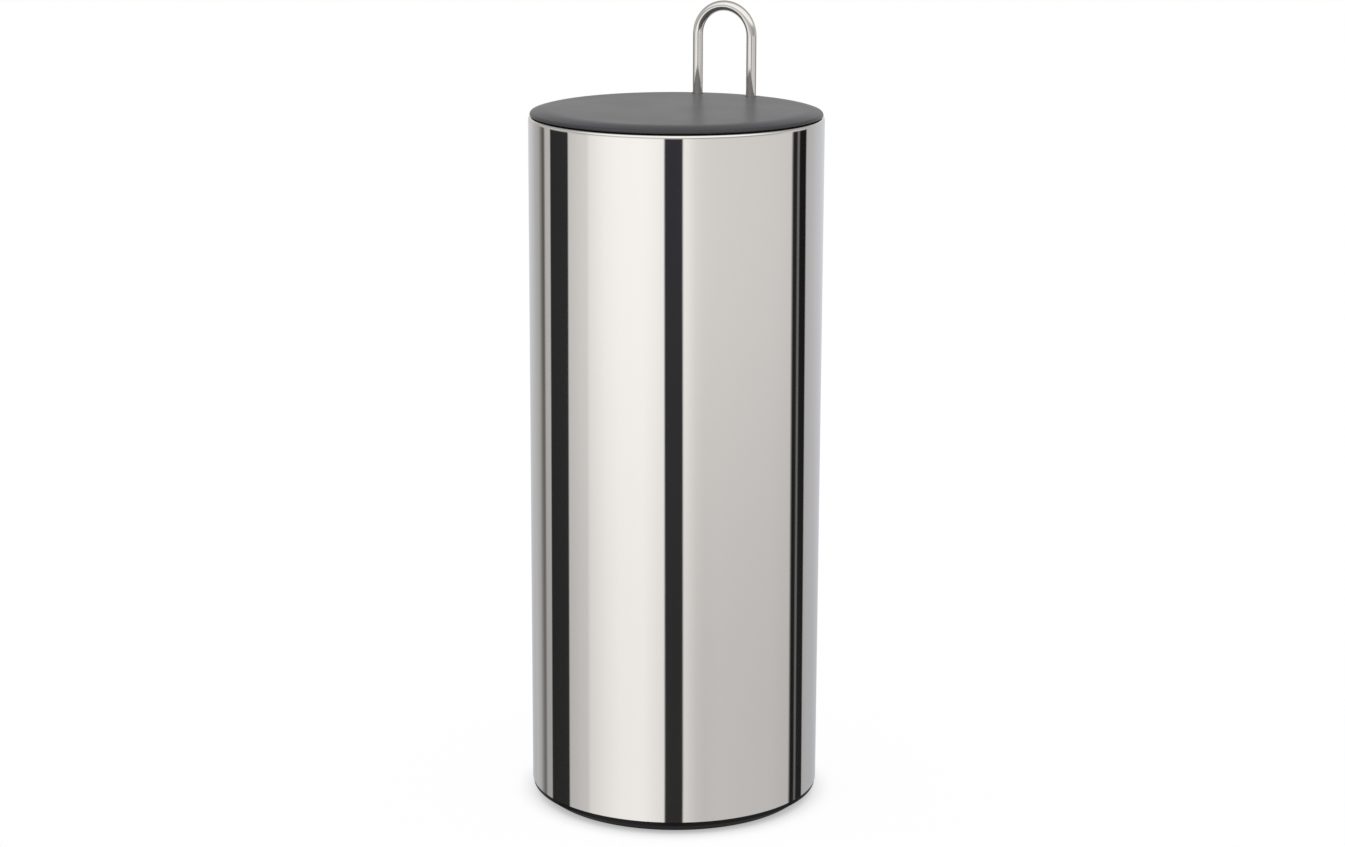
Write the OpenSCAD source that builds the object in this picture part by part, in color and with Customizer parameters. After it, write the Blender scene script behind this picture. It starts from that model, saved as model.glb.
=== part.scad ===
// A free-standing holder for three spare toilet rolls, in millimetres.
// A polished steel tube stands on a weighted base. A carrier lifts out of it by
// its wire handle: the lid, a rod bent into a hairpin, and the tray of the rolls.
// +Z is up, the origin is the middle of the footprint, and the handle is at +Y.

/* [Tube] */
// Outside diameter of the steel tube
tube_d = 140; // [125:1:180]
// Height of the steel, from its cut bottom edge to the top of its rolled rim
tube_h = 327.4; // [220:0.1:420]
// Thickness of the sheet steel
tube_wall = 0.8; // [0.5:0.1:1.2]
// Outside radius of the curl that makes the rim safe to touch
rim_curl_r = 1.5; // [1.3:0.1:2]
// Width of the chamfers that break the cut edge at the bottom
edge_break = 0.1; // [0.05:0.05:0.25]

/* [Base] */
// Height of the black base that shows below the steel
base_show = 6.4; // [5.4:0.1:12]
// How far the base's top edge is set in from the steel
base_inset = 0.4; // [0.2:0.1:1]
// Height of the upright band at the base's top edge
base_lip_h = 2; // [0.5:0.1:2.5]
// How far the base draws in from that band to its foot
base_taper = 5.6; // [1:0.1:7]
// Thickness of the base's ribs and of the ledge that the steel stands on
base_wall = 1.6; // [1.2:0.1:2.5]
// Thickness of the base's floor
base_floor_t = 2.4; // [2:0.1:4]
// Height of the spigot that the tube is pressed over
spigot_h = 4.6; // [3:0.1:5]
// Thickness of the spigot's wall
spigot_wall = 1.5; // [1.2:0.1:2]
// Number of crush ribs round the spigot
crush_ribs = 24; // [12:4:48]
// Width of the rail that carries the foot ring
foot_rail_w = 5; // [4.2:0.1:8]
// Width of the rubber foot ring
foot_w = 2.6; // [1.5:0.1:3.5]
// Height of the rubber foot ring
foot_h = 1.6; // [1:0.1:2.2]
// How far the foot ring stands out below the base
foot_proud = 0.4; // [0.2:0.1:0.8]
// Number of ribs under the base
base_ribs = 12; // [8:4:24]
// Thickness of the steel weight
weight_t = 3; // [2:0.5:8]
// Thickness of the cover moulded over the weight
cover_t = 1.2; // [1:0.1:2]
// How far the circle of the base screws lies in from the outside of the steel
base_screw_inset = 24; // [18:1:32]
// Number of base screws
base_screw_count = 4; // [3:1:6]

/* [Lid] */
// How far the lid rises above the rim
lid_rise = 3.6; // [3.3:0.1:8]
// How far the lid's edge is set in from the steel
lid_inset = 0.7; // [0.3:0.1:1.5]
// Width of the rounded shoulder, from the flat top to the lid's edge
lid_shoulder_w = 9.5; // [8:0.1:11]
// Radius of the soft shoulder
lid_shoulder_r = 26; // [22:0.5:32]
// Radius of the tight corner at the lid's edge
lid_corner_r = 1.5; // [1:0.1:2]
// Thickness of the lid's top
lid_top_t = 2.2; // [1.5:0.1:2.6]
// Open seam between the rim and the lid's edge
lid_seam = 0.6; // [0.4:0.1:1]
// Depth of the skirt that drops into the tube
skirt_h = 9; // [7:0.5:20]
// Thickness of the skirt
skirt_t = 2.1; // [1.5:0.1:3]
// Width of the soft seal under the lid's edge
seal_w = 2; // [1.2:0.1:2.3]
// Thickness of the plate screwed into the lid
plate_t = 2; // [1.5:0.1:3]
// How far the plate lies above the skirt's lower edge
plate_rise = 2; // [1.9:0.1:4]
// How far the circle of the lid screws lies in from the outside of the steel
lid_screw_inset = 24; // [16:1:36]

/* [Handle rod] */
// Diameter of the rod
rod_d = 5; // [4:0.1:6]
// Distance between the middles of the two legs
rod_spacing = 28.4; // [26:0.1:34]
// How far the middles of the legs lie in from the back of the steel
rod_inset = 15; // [14:0.5:22]
// Height of the loop above the lid
handle_h = 45.9; // [30:0.1:90]
// Diameter of the threaded ends
thread_d = 4; // [3:0.1:4]

/* [Tray] */
// Gap between the tray's edge ring and the rolled rim as the tray passes it
tray_gap = 0.3; // [0.3:0.1:1]
// Height of the tray's wall below its floor
tray_depth = 5; // [4.5:0.1:8]
// Thickness of the tray's floor
tray_floor_t = 2; // [1.5:0.1:3]
// Height of the lip that keeps the rolls off the steel
tray_lip_h = 4; // [2:0.5:10]
// Thickness of the tray's wall and lip
tray_wall = 2; // [1.6:0.1:3]
// Thickness of the tray's ribs
tray_rib_t = 1.6; // [1.2:0.1:2.5]
// Number of ribs under the tray, with a vent slot between each two
tray_ribs = 12; // [12:12:24]
// Width of a vent slot
vent_w = 5; // [3:0.5:7]
// Length of a vent slot
vent_l = 18; // [8:1:19]
// Height of the sockets that hold the rod's legs
socket_h = 8; // [5:0.5:16]

/* [Hidden] */
$fn = 96;
small_fn = 48;
hex_fn = 6;

// Overrun of every cut past the face it opens
overrun = 1;
// Gap at which pieces of the carrier rest on pieces of the canister
rest_gap = 0.3;
// Play of a round piece in a round seat, on the radius
seat_play = 0.05;
// Play of a screw or rod in a hole, on the radius
hole_play = 0.1;

// Levels of the canister, from the floor upwards
tube_r = tube_d / 2;
bore_r = tube_r - tube_wall;
rim_r = tube_r - 2 * rim_curl_r;
rim_z = base_show + tube_h;
curl_z = rim_z - rim_curl_r;
rod_back = tube_r - rod_inset;

// Base
base_top_r = tube_r - base_inset;
base_foot_r = base_top_r - base_taper;
rail_r = base_foot_r - foot_rail_w;
foot_mid_r = base_foot_r - foot_rail_w / 2;
base_floor_z = base_show - base_wall;
base_floor_top_z = base_floor_z + base_floor_t;
base_rib_z = 1.2;
base_hub_r = 9;
base_ring_gap = 16;
base_screw_r = tube_r - base_screw_inset;
base_ring_r = base_screw_r - base_ring_gap;
spigot_play = 0.35;
spigot_r = bore_r - spigot_play;
spigot_in_r = spigot_r - spigot_wall;
spigot_top_z = base_show + spigot_h;
spigot_chamfer = 0.5;
crush_rib_w = 0.8;

// Base screws: pan heads below, shanks up through the base into the weight
base_screw_d = 4;
base_head_d = 7.6;
base_head_h = 2.2;
base_boss_wall = 1.6;
base_head_z = base_floor_z;
base_boss_r = base_head_d / 2 + hole_play + base_boss_wall;

// Weight and its cover, inside the spigot
cover_play = 0.4;
cover_r = spigot_in_r - cover_play;
weight_r = cover_r - cover_t - hole_play;
weight_z = base_floor_top_z;
weight_chamfer = 0.5;
weight_hole_r = 10;
cover_z = weight_z + weight_t;
cover_top_z = cover_z + cover_t;
cover_round_r = cover_t;
base_screw_tip = 0.4;

// Lid
lid_r = tube_r - lid_inset;
lid_flat_r = lid_r - lid_shoulder_w;
lid_top_z = rim_z + lid_rise;
lid_under_z = rim_z + lid_seam;
lid_ceiling_z = lid_top_z - lid_top_t;
shoulder_z = lid_top_z - lid_shoulder_r;
corner_r = lid_r - lid_corner_r;
shoulder_angle = asin((corner_r - lid_flat_r) / (lid_shoulder_r - lid_corner_r));
corner_z = shoulder_z + (lid_shoulder_r - lid_corner_r) * cos(shoulder_angle);
skirt_play = 0.6;
skirt_r = rim_r - skirt_play;
skirt_in_r = skirt_r - skirt_t;
skirt_z = lid_under_z - skirt_h;
seal_z = rim_z + rest_gap;
seal_depth = 1;
seal_top_z = lid_under_z + seal_depth;

// Plate under the lid
plate_play = 0.3;
plate_r = skirt_in_r - plate_play;
plate_z = skirt_z + plate_rise;
plate_top_z = plate_z + plate_t;
plate_rib_t = 1.4;
plate_rib_h = 1.2;
plate_ribs = 8;
plate_hub_r = 14;

// Lid screws, from below through the plate into bosses under the lid
lid_screw_r = tube_r - lid_screw_inset;
lid_screw_d = 3;
lid_head_d = 5.6;
lid_head_h = 1.8;
lid_screw_count = 4;
lid_screw_turn = 45;
lid_screw_bite = 4.4;
boss_wall = 2;
lid_boss_r = lid_screw_d / 2 + hole_play + boss_wall;
boss_hole_end = 0.6;

// Handle rod
rod_r = rod_d / 2;
leg_x = rod_spacing / 2;
bend_z = lid_top_z + handle_h - rod_r - leg_x;
rod_hole_r = rod_r + rest_gap;
rod_fit_r = rod_r + seat_play;

// Clips that grip grooves in the legs
clip_t = 0.8;
clip_wall = 2.4;
groove_depth = 0.45;
groove_play = 0.05;
groove_r = rod_r - groove_depth;
clip_r = groove_r + clip_wall;
clip_slot_share = 1.5;

// Clamp that ties the two legs to the plate
clamp_h = 8;
clamp_wall = 3;
clamp_r = rod_r + clamp_wall;
clamp_z = plate_z - clamp_h;
clamp_screw_d = 3;
clamp_head_d = 5.6;
clamp_head_h = 1.8;
clamp_screw_x_share = 0.4;
clamp_screw_x = leg_x * clamp_screw_x_share;
clamp_screw_bite = 3;
clamp_boss_wall = 1.2;
clamp_boss_r = clamp_screw_d / 2 + hole_play + clamp_boss_wall;
upper_clip_z = plate_top_z;
lower_clip_z = clamp_z - clip_t;
bush_wall = 2;
bush_r = rod_fit_r + bush_wall;
bush_z = upper_clip_z + clip_t;

// Tray
foot_pad_h = 1.2;
tray_z = cover_top_z + rest_gap + foot_pad_h;
floor_z = tray_z + tray_depth;
tray_top_z = floor_z + tray_floor_t;
lip_top_z = tray_top_z + tray_lip_h;
edge_ring_h = 3;
edge_ring_reach = 1.2;
edge_ring_bite = 0.8;
edge_r = rim_r - tray_gap;
tray_r = edge_r - edge_ring_reach;
edge_mid_r = edge_r - edge_ring_h / 2;
edge_in_r = tray_r - edge_ring_bite;
edge_z = tray_z + (tray_depth - edge_ring_h) / 2 + edge_ring_h / 2;
tray_in_r = tray_r - tray_wall;
lip_round_r = tray_wall / 2;
tray_hub_r = 12;
tray_ring_r_share = 0.58;
tray_ring_r = tray_in_r * tray_ring_r_share;
rib_rise = 1;
vent_r_share = 0.76;
vent_r = tray_in_r * vent_r_share;

// Sockets, washers and nuts of the rod's threaded ends
socket_wall = 3;
socket_r = rod_fit_r + socket_wall;
thread_r = thread_d / 2;
washer_t = 1;
washer_r = 4.5;
nut_h = 4;
nut_flat = 7;
nut_r = nut_flat / 2 / cos(180 / hex_fn);
washer_z = floor_z - washer_t;
nut_z = washer_z - nut_h;
rod_end_z = nut_z + seat_play;

// Rubber feet pushed into bosses under the tray
pad_r = 4.6;
pad_stem_r = 2;
pad_stem_h = 3;
pad_boss_wall = 1.6;
pad_count = 4;
pad_turn = 45;
pad_circle_share = 0.84;
pad_circle_r = tray_in_r * pad_circle_share;
pad_round_r = 0.5;

// Cross recess of a screw head, as shares of the head
recess_depth_share = 0.5;
recess_span_share = 0.55;
recess_width_share = 0.15;
head_round_share = 0.5;

// Colours
steel = [0.78, 0.77, 0.75];
dark_lid = [0.30, 0.30, 0.31];
black = [0.08, 0.08, 0.08];
grey = [0.35, 0.36, 0.37];
zinc = [0.62, 0.63, 0.65];

// Places copies on a circle, the first at the given turn from +X
module around(count, radius, turn = 0) {
    for (i = [0 : count - 1])
        rotate([0, 0, turn + i * 360 / count]) translate([radius, 0, 0]) children();
}

// Places a copy on each leg of the rod
module at_legs() {
    for (side = [-1, 1]) translate([side * leg_x, rod_back, 0]) children();
}

// A flat ring
module ring(r_out, r_in, z, h) {
    translate([0, 0, z]) difference() {
        cylinder(r = r_out, h = h);
        translate([0, 0, -overrun]) cylinder(r = r_in, h = h + 2 * overrun);
    }
}

// A hole of radius r along Z, from z over height h
module bore(r, z, h) {
    translate([0, 0, z]) cylinder(r = r, h = h, $fn = small_fn);
}

// Outline of a round knob from the axis out, its lower corner rounded
module knob_outline(r, h, round_r) {
    square([r - round_r, h]);
    translate([0, round_r]) square([r, h - round_r]);
    translate([r - round_r, round_r]) circle(r = round_r, $fn = small_fn);
}

// A pan head screw, head down, its shank rising from z
module pan_screw(z, shank_d, shank_l, head_d, head_h) {
    round_r = head_h * head_round_share;
    recess_h = head_h * recess_depth_share;
    span = head_d * recess_span_share;
    slot = head_d * recess_width_share;
    translate([0, 0, z]) {
        translate([0, 0, -head_h]) difference() {
            rotate_extrude($fn = small_fn) knob_outline(head_d / 2, head_h, round_r);
            for (turn = [0, 90]) rotate([0, 0, turn])
                translate([-span / 2, -slot / 2, -overrun]) cube([span, slot, recess_h + overrun]);
        }
        cylinder(d = shank_d, h = shank_l, $fn = small_fn);
    }
}

// Steel tube: cut edge at the bottom, wall, and rim curled inwards
module outer_tube() {
    color(steel) rotate_extrude() {
        polygon([
            [bore_r + edge_break, base_show], [tube_r - edge_break, base_show],
            [tube_r, base_show + edge_break], [tube_r, curl_z],
            [bore_r, curl_z], [bore_r, base_show + edge_break]
        ]);
        translate([tube_r - rim_curl_r, curl_z]) difference() {
            circle(r = rim_curl_r, $fn = small_fn);
            circle(r = rim_curl_r - tube_wall, $fn = small_fn);
            translate([0, -rim_curl_r - overrun]) square(rim_curl_r + overrun);
        }
    }
}

// Outline of the base: tapered rail, upright band, ledge of the steel, spigot and floor
module base_outline() {
    polygon([
        [0, base_floor_z], [rail_r, base_floor_z], [rail_r, foot_proud], [base_foot_r, foot_proud],
        [base_top_r, base_show - base_lip_h], [base_top_r, base_show], [spigot_r, base_show],
        [spigot_r, spigot_top_z - spigot_chamfer], [spigot_r - spigot_chamfer, spigot_top_z],
        [spigot_in_r, spigot_top_z], [spigot_in_r, base_floor_top_z], [0, base_floor_top_z]
    ]);
}

// Ribs that crush a little as the tube is pressed over the spigot
module spigot_ribs() {
    root = spigot_wall / 2;
    sunk = base_lip_h / 2;
    around(crush_ribs, spigot_r - root, 180 / crush_ribs)
        translate([0, -crush_rib_w / 2, base_show - sunk])
            cube([root + spigot_play - seat_play, crush_rib_w, spigot_h - 2 * spigot_chamfer + sunk]);
}

// Ribs, rings and screw bosses under the base, from rib level to its floor
module base_underside() {
    rib_h = base_floor_z - base_rib_z + base_wall / 2;
    around(base_ribs, base_hub_r) translate([0, -base_wall / 2, base_rib_z])
        cube([rail_r - base_hub_r + foot_rail_w / 4, base_wall, rib_h]);
    for (r = [base_hub_r, base_ring_r]) ring(r + base_wall, r, base_rib_z, rib_h);
    around(base_screw_count, base_screw_r, 180 / base_ribs) bore(base_boss_r, base_rib_z, rib_h);
}

// Black moulded base, pressed into the tube from below
module base_moulding() {
    color(black) difference() {
        union() {
            rotate_extrude() base_outline();
            spigot_ribs();
            base_underside();
        }
        ring(foot_mid_r + foot_w / 2 + seat_play, foot_mid_r - foot_w / 2 - seat_play,
            -overrun, foot_h + overrun);
        around(base_screw_count, base_screw_r, 180 / base_ribs) {
            bore(base_head_d / 2 + hole_play, 0, base_head_z);
            bore(base_screw_d / 2 + hole_play, 0, base_floor_top_z + overrun);
        }
    }
}

// Rubber ring that the whole holder stands on
module foot_ring() {
    color(grey) ring(foot_mid_r + foot_w / 2, foot_mid_r - foot_w / 2, 0, foot_h);
}

// Screws that hold the weight in the base
module base_screws() {
    color(zinc) around(base_screw_count, base_screw_r, 180 / base_ribs)
        pan_screw(base_head_z, base_screw_d, cover_z - base_head_z - base_screw_tip,
            base_head_d, base_head_h);
}

// Steel disc that keeps the tall tube from tipping
module base_weight() {
    color(zinc) difference() {
        rotate_extrude() polygon([
            [weight_hole_r, weight_z], [weight_r - weight_chamfer, weight_z],
            [weight_r, weight_z + weight_chamfer], [weight_r, cover_z - weight_chamfer],
            [weight_r - weight_chamfer, cover_z], [weight_hole_r, cover_z]
        ]);
        around(base_screw_count, base_screw_r, 180 / base_ribs)
            bore(base_screw_d / 2 + hole_play, weight_z - overrun, weight_t + 2 * overrun);
    }
}

// Moulded cap over the weight, the floor that the tray comes down on
module weight_cover() {
    color(grey) rotate_extrude() difference() {
        union() {
            translate([0, weight_z]) square([cover_r, weight_t]);
            translate([0, cover_z]) square([cover_r - cover_round_r, cover_t]);
            translate([cover_r - cover_round_r, cover_z]) circle(r = cover_round_r, $fn = small_fn);
        }
        translate([0, weight_z - overrun]) square([cover_r - cover_t, weight_t + overrun]);
    }
}

// Outline of the lid's top and edge: flat, soft shoulder, tight corner, upright side
module lid_outline() {
    shoulder = [lid_flat_r, shoulder_z];
    reach = 2 * lid_shoulder_r;
    intersection() {
        union() {
            translate([0, shoulder_z]) square([lid_flat_r, lid_shoulder_r]);
            intersection() {
                translate(shoulder) circle(r = lid_shoulder_r);
                polygon([
                    shoulder, shoulder + [0, reach],
                    shoulder + reach * [sin(shoulder_angle), cos(shoulder_angle)]
                ]);
            }
            polygon([shoulder, [corner_r, corner_z], [corner_r, shoulder_z]]);
            translate([corner_r, shoulder_z]) square([lid_corner_r, corner_z - shoulder_z]);
            translate([corner_r, corner_z]) circle(r = lid_corner_r, $fn = small_fn);
        }
        translate([0, lid_under_z]) square([tube_r, reach]);
    }
}

// Dark lid: rounded cap with a skirt that drops into the rim
module lid_cover() {
    color(dark_lid) difference() {
        union() {
            rotate_extrude() difference() {
                union() {
                    lid_outline();
                    translate([0, skirt_z]) square([skirt_r, skirt_h + seal_depth / 2]);
                }
                translate([0, skirt_z - overrun])
                    square([skirt_in_r, lid_ceiling_z - skirt_z + overrun]);
                translate([skirt_r, lid_under_z - overrun])
                    square([seal_w + 2 * seat_play, seal_depth + overrun]);
            }
            around(lid_screw_count, lid_screw_r, lid_screw_turn)
                bore(lid_boss_r, plate_top_z, lid_ceiling_z - plate_top_z + lid_top_t / 2);
        }
        at_legs() bore(rod_hole_r, lid_ceiling_z - overrun, lid_top_t + 2 * overrun);
        around(lid_screw_count, lid_screw_r, lid_screw_turn)
            bore(lid_screw_d / 2 + hole_play, plate_top_z - overrun,
                lid_screw_bite + boss_hole_end + overrun);
    }
}

// Soft ring that lands on the rolled rim without a clang
module lid_seal() {
    color(black) ring(skirt_r + seat_play + seal_w, skirt_r + seat_play, seal_z, seal_top_z - seal_z);
}

// Plate inside the skirt that ties the lid to the rod
module lid_plate() {
    color(grey) difference() {
        union() {
            plate_disc();
            for (i = [0 : plate_ribs - 1]) rotate([0, 0, i * 360 / plate_ribs])
                translate([plate_hub_r, -plate_rib_t / 2, plate_z - plate_rib_h])
                    cube([rib_reach(i) - plate_hub_r, plate_rib_t, plate_rib_h + plate_t / 2]);
            ring(plate_hub_r + plate_rib_t, plate_hub_r, plate_z - plate_rib_h, plate_rib_h + plate_t / 2);
            for (side = [-1, 1]) translate([side * clamp_screw_x, rod_back, 0])
                bore(clamp_boss_r, plate_top_z - plate_t / 2, clamp_screw_bite + plate_t / 2);
        }
        at_legs() bore(rod_fit_r, plate_z - overrun, plate_t + 2 * overrun);
        for (side = [-1, 1]) translate([side * clamp_screw_x, rod_back, 0])
            bore(clamp_screw_d / 2 + hole_play, plate_z - overrun, plate_t + clamp_screw_bite + 2 * overrun);
        around(lid_screw_count, lid_screw_r, lid_screw_turn)
            bore(lid_screw_d / 2 + hole_play, plate_z - plate_rib_h - overrun,
                plate_t + plate_rib_h + 2 * overrun);
    }
}

// The plain disc of the plate
module plate_disc() {
    translate([0, 0, plate_z]) cylinder(r = plate_r, h = plate_t);
}

// How far out each rib of the plate goes: short of a screw head or the clamp
function rib_reach(i) =
    i % 2 == 1 ? lid_screw_r - lid_boss_r :
    i == plate_ribs / 4 ? rod_back - clamp_r - plate_play : plate_r - plate_rib_t;

// Screws that hold the plate in the lid
module lid_screws() {
    color(zinc) around(lid_screw_count, lid_screw_r, lid_screw_turn)
        pan_screw(plate_z, lid_screw_d, plate_t + lid_screw_bite, lid_head_d, lid_head_h);
}

// Polished rod bent into a hairpin: handle loop, two long legs, threaded ends
module handle_rod() {
    color(steel) difference() {
        union() {
            translate([0, rod_back, bend_z]) rotate([90, 0, 0])
                rotate_extrude(angle = 180) translate([leg_x, 0]) circle(r = rod_r, $fn = small_fn);
            at_legs() {
                bore(rod_r, tray_top_z, bend_z - tray_top_z);
                bore(thread_r, rod_end_z, tray_top_z - rod_end_z);
            }
        }
        for (z = [upper_clip_z, lower_clip_z]) at_legs()
            ring(rod_r + overrun, groove_r, z - groove_play, clip_t + 2 * groove_play);
    }
}

// Bushes round the legs between the clips and the lid's top
module rod_bushes() {
    color(black) at_legs() ring(bush_r, rod_fit_r, bush_z, lid_ceiling_z - bush_z);
}

// Clamp block under the plate, with a bore for each leg
module rod_clamp() {
    color(grey) difference() {
        union() {
            at_legs() bore(clamp_r, clamp_z, clamp_h);
            translate([-leg_x, rod_back - clamp_r, clamp_z]) cube([rod_spacing, 2 * clamp_r, clamp_h]);
        }
        at_legs() bore(rod_fit_r, clamp_z - overrun, clamp_h + 2 * overrun);
        for (side = [-1, 1]) translate([side * clamp_screw_x, rod_back, 0])
            bore(clamp_screw_d / 2 + hole_play, clamp_z - overrun, clamp_h + 2 * overrun);
    }
}

// Screws up through the clamp into the plate
module clamp_screws() {
    color(zinc) for (side = [-1, 1]) translate([side * clamp_screw_x, rod_back, 0])
        pan_screw(clamp_z, clamp_screw_d, clamp_h + plate_t + clamp_screw_bite,
            clamp_head_d, clamp_head_h);
}

// Snap clips: one above the plate and one below the clamp on each leg
module rod_clips() {
    slot = groove_r * clip_slot_share;
    color(zinc) for (z = [upper_clip_z, lower_clip_z]) at_legs() difference() {
        ring(clip_r, groove_r + groove_play, z, clip_t);
        translate([-slot / 2, 0, z - overrun]) cube([slot, clip_r + overrun, clip_t + 2 * overrun]);
    }
}

// Outline of the tray: floor, wall below it and rounded lip above it
module tray_outline() {
    difference() {
        union() {
            translate([0, floor_z]) square([tray_in_r, tray_floor_t]);
            translate([tray_in_r, tray_z]) square([tray_wall, lip_top_z - tray_z - lip_round_r]);
            translate([tray_r - lip_round_r, lip_top_z - lip_round_r])
                circle(r = lip_round_r, $fn = small_fn);
        }
        translate([edge_in_r - seat_play, edge_z - edge_ring_h / 2 - seat_play])
            square([tray_wall, edge_ring_h + 2 * seat_play]);
    }
}

// A slot with round ends, pointing out from the middle
module vent_slot() {
    for (end = [-1, 1]) translate([end * (vent_l - vent_w) / 2, 0, 0])
        bore(vent_w / 2, floor_z - overrun, tray_floor_t + 2 * overrun);
    translate([(vent_w - vent_l) / 2, -vent_w / 2, floor_z - overrun])
        cube([vent_l - vent_w, vent_w, tray_floor_t + 2 * overrun]);
}

// Ribs and bosses under the tray's floor
module tray_underside() {
    rib_h = floor_z - tray_z - rib_rise;
    for (i = [0 : tray_ribs - 1]) rotate([0, 0, i * 360 / tray_ribs])
        translate([tray_hub_r, -tray_rib_t / 2, tray_z + rib_rise])
            cube([tray_in_r - tray_hub_r + tray_wall / 4, tray_rib_t, rib_h + tray_floor_t / 2]);
    for (r = [tray_hub_r, tray_ring_r])
        ring(r + tray_rib_t, r, tray_z + rib_rise, rib_h + tray_floor_t / 2);
    around(pad_count, pad_circle_r, pad_turn)
        bore(pad_stem_r + pad_boss_wall, tray_z, floor_z - tray_z + tray_floor_t / 2);
}

// Tray that the rolls stand on, vented so that it sinks freely in the tube
module tray() {
    color(grey) difference() {
        union() {
            rotate_extrude() tray_outline();
            tray_underside();
            at_legs() bore(socket_r, tray_top_z - tray_floor_t / 2, socket_h + tray_floor_t / 2);
        }
        for (i = [0 : tray_ribs - 1]) if (vent_is_free(i))
            rotate([0, 0, (i + 1 / 2) * 360 / tray_ribs]) translate([vent_r, 0, 0]) vent_slot();
        at_legs() {
            bore(rod_fit_r, tray_top_z, socket_h + overrun);
            bore(thread_r + hole_play, floor_z - overrun, tray_floor_t + 2 * overrun);
        }
        around(pad_count, pad_circle_r, pad_turn)
            bore(pad_stem_r + seat_play, tray_z - overrun, pad_stem_h + seat_play + overrun);
    }
}

// Slots are left out where they would reach a socket of the rod or a rubber foot
function vent_is_free(i) =
    let (
        turn = (i + 1 / 2) * 360 / tray_ribs,
        off_legs = abs(turn - 90),
        legs_reach = atan2(leg_x, rod_back) + asin((socket_r + vent_w / 2) / norm([leg_x, rod_back])),
        pad_step = 360 / pad_count,
        off_pads = abs((turn - pad_turn + 3 * pad_step / 2) % pad_step - pad_step / 2),
        pads_reach = asin((pad_r + vent_w / 2) / pad_circle_r)
    )
    off_legs > legs_reach && off_pads > pads_reach;

// Soft band round the tray's edge
module tray_edge_ring() {
    color(black) rotate_extrude() translate([0, edge_z]) {
        translate([edge_in_r, -edge_ring_h / 2]) square([edge_mid_r - edge_in_r, edge_ring_h]);
        intersection() {
            translate([edge_mid_r, 0]) circle(r = edge_ring_h / 2, $fn = small_fn);
            translate([edge_mid_r, -edge_ring_h]) square([edge_ring_h, 2 * edge_ring_h]);
        }
    }
}

// Rubber feet under the tray
module tray_feet() {
    color(black) around(pad_count, pad_circle_r, pad_turn) translate([0, 0, tray_z - foot_pad_h]) {
        rotate_extrude($fn = small_fn) knob_outline(pad_r, foot_pad_h, pad_round_r);
        cylinder(r = pad_stem_r, h = foot_pad_h + pad_stem_h, $fn = small_fn);
    }
}

// Washers under the tray on the threaded ends
module rod_washers() {
    color(zinc) at_legs() ring(washer_r, thread_r + hole_play, washer_z, washer_t);
}

// Nuts on the threaded ends
module rod_nuts() {
    color(zinc) at_legs() translate([0, 0, nut_z]) difference() {
        cylinder(r = nut_r, h = nut_h, $fn = hex_fn);
        bore(thread_r + seat_play, -overrun, nut_h + 2 * overrun);
    }
}

outer_tube();
base_moulding();
foot_ring();
base_screws();
base_weight();
weight_cover();
lid_cover();
lid_seal();
lid_plate();
lid_screws();
handle_rod();
rod_bushes();
rod_clamp();
clamp_screws();
rod_clips();
tray();
tray_edge_ring();
tray_feet();
rod_washers();
rod_nuts();
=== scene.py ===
"""Looks of the toilet roll holder: polished tube, dark lid, wire handle and everything under them.

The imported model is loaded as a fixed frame. Each sub-assembly is a class that models its pieces round
the frame's own boxes and dresses them, and main() builds them in order. Lengths are in metres.
"""
import logging
import math
from dataclasses import dataclass
from enum import Enum
from typing import ClassVar

import bmesh
import bpy
from mathutils import Matrix, Vector


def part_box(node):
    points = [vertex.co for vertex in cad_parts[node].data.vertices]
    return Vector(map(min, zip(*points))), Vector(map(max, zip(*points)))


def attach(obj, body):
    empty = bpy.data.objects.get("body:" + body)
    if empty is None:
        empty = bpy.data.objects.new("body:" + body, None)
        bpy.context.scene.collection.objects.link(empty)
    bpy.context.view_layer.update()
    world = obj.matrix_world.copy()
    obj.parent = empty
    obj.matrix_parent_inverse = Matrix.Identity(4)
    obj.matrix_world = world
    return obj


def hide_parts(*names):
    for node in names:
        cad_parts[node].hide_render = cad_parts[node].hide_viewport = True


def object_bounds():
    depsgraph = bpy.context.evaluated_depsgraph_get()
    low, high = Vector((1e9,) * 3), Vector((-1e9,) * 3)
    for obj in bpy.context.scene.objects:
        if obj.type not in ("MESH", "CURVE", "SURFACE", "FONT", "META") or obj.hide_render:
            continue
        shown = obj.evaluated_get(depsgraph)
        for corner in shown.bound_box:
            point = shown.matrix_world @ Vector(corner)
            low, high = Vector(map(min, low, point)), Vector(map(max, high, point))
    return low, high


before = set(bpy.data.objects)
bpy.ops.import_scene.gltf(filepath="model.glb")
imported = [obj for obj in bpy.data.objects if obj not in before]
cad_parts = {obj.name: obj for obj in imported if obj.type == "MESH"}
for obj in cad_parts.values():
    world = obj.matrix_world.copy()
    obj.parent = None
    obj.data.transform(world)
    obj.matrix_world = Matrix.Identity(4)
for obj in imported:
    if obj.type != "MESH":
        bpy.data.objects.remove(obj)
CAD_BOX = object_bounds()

log = logging.getLogger("holder")

MM = 0.001
# Faces round a large form, a ring among the ribs and a small form
ROUND_STEPS = 256
RING_STEPS = 96
SMALL_STEPS = 48
# Points closer than this are one point
NEAREST = 0.001 * MM
# Edges sharper than this many degrees are shaded sharp
SHARP_ANGLE = 35
# Packed faces that meet at less than this many degrees are one face
FLAT_ANGLE = 0.2
# Packed edges sharper than this many degrees are rounded
EDGE_ANGLE = 40
# Pull of the larger faces on the shading, where 50 is none
FACE_WEIGHT = 60
# Profile of a rounding that is part of a circle
ROUND_PROFILE = 0.5
# Share of a wall's thickness that rounds each of its edges, with a narrow flat left between them
FULL_ROUND = 0.48
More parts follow.
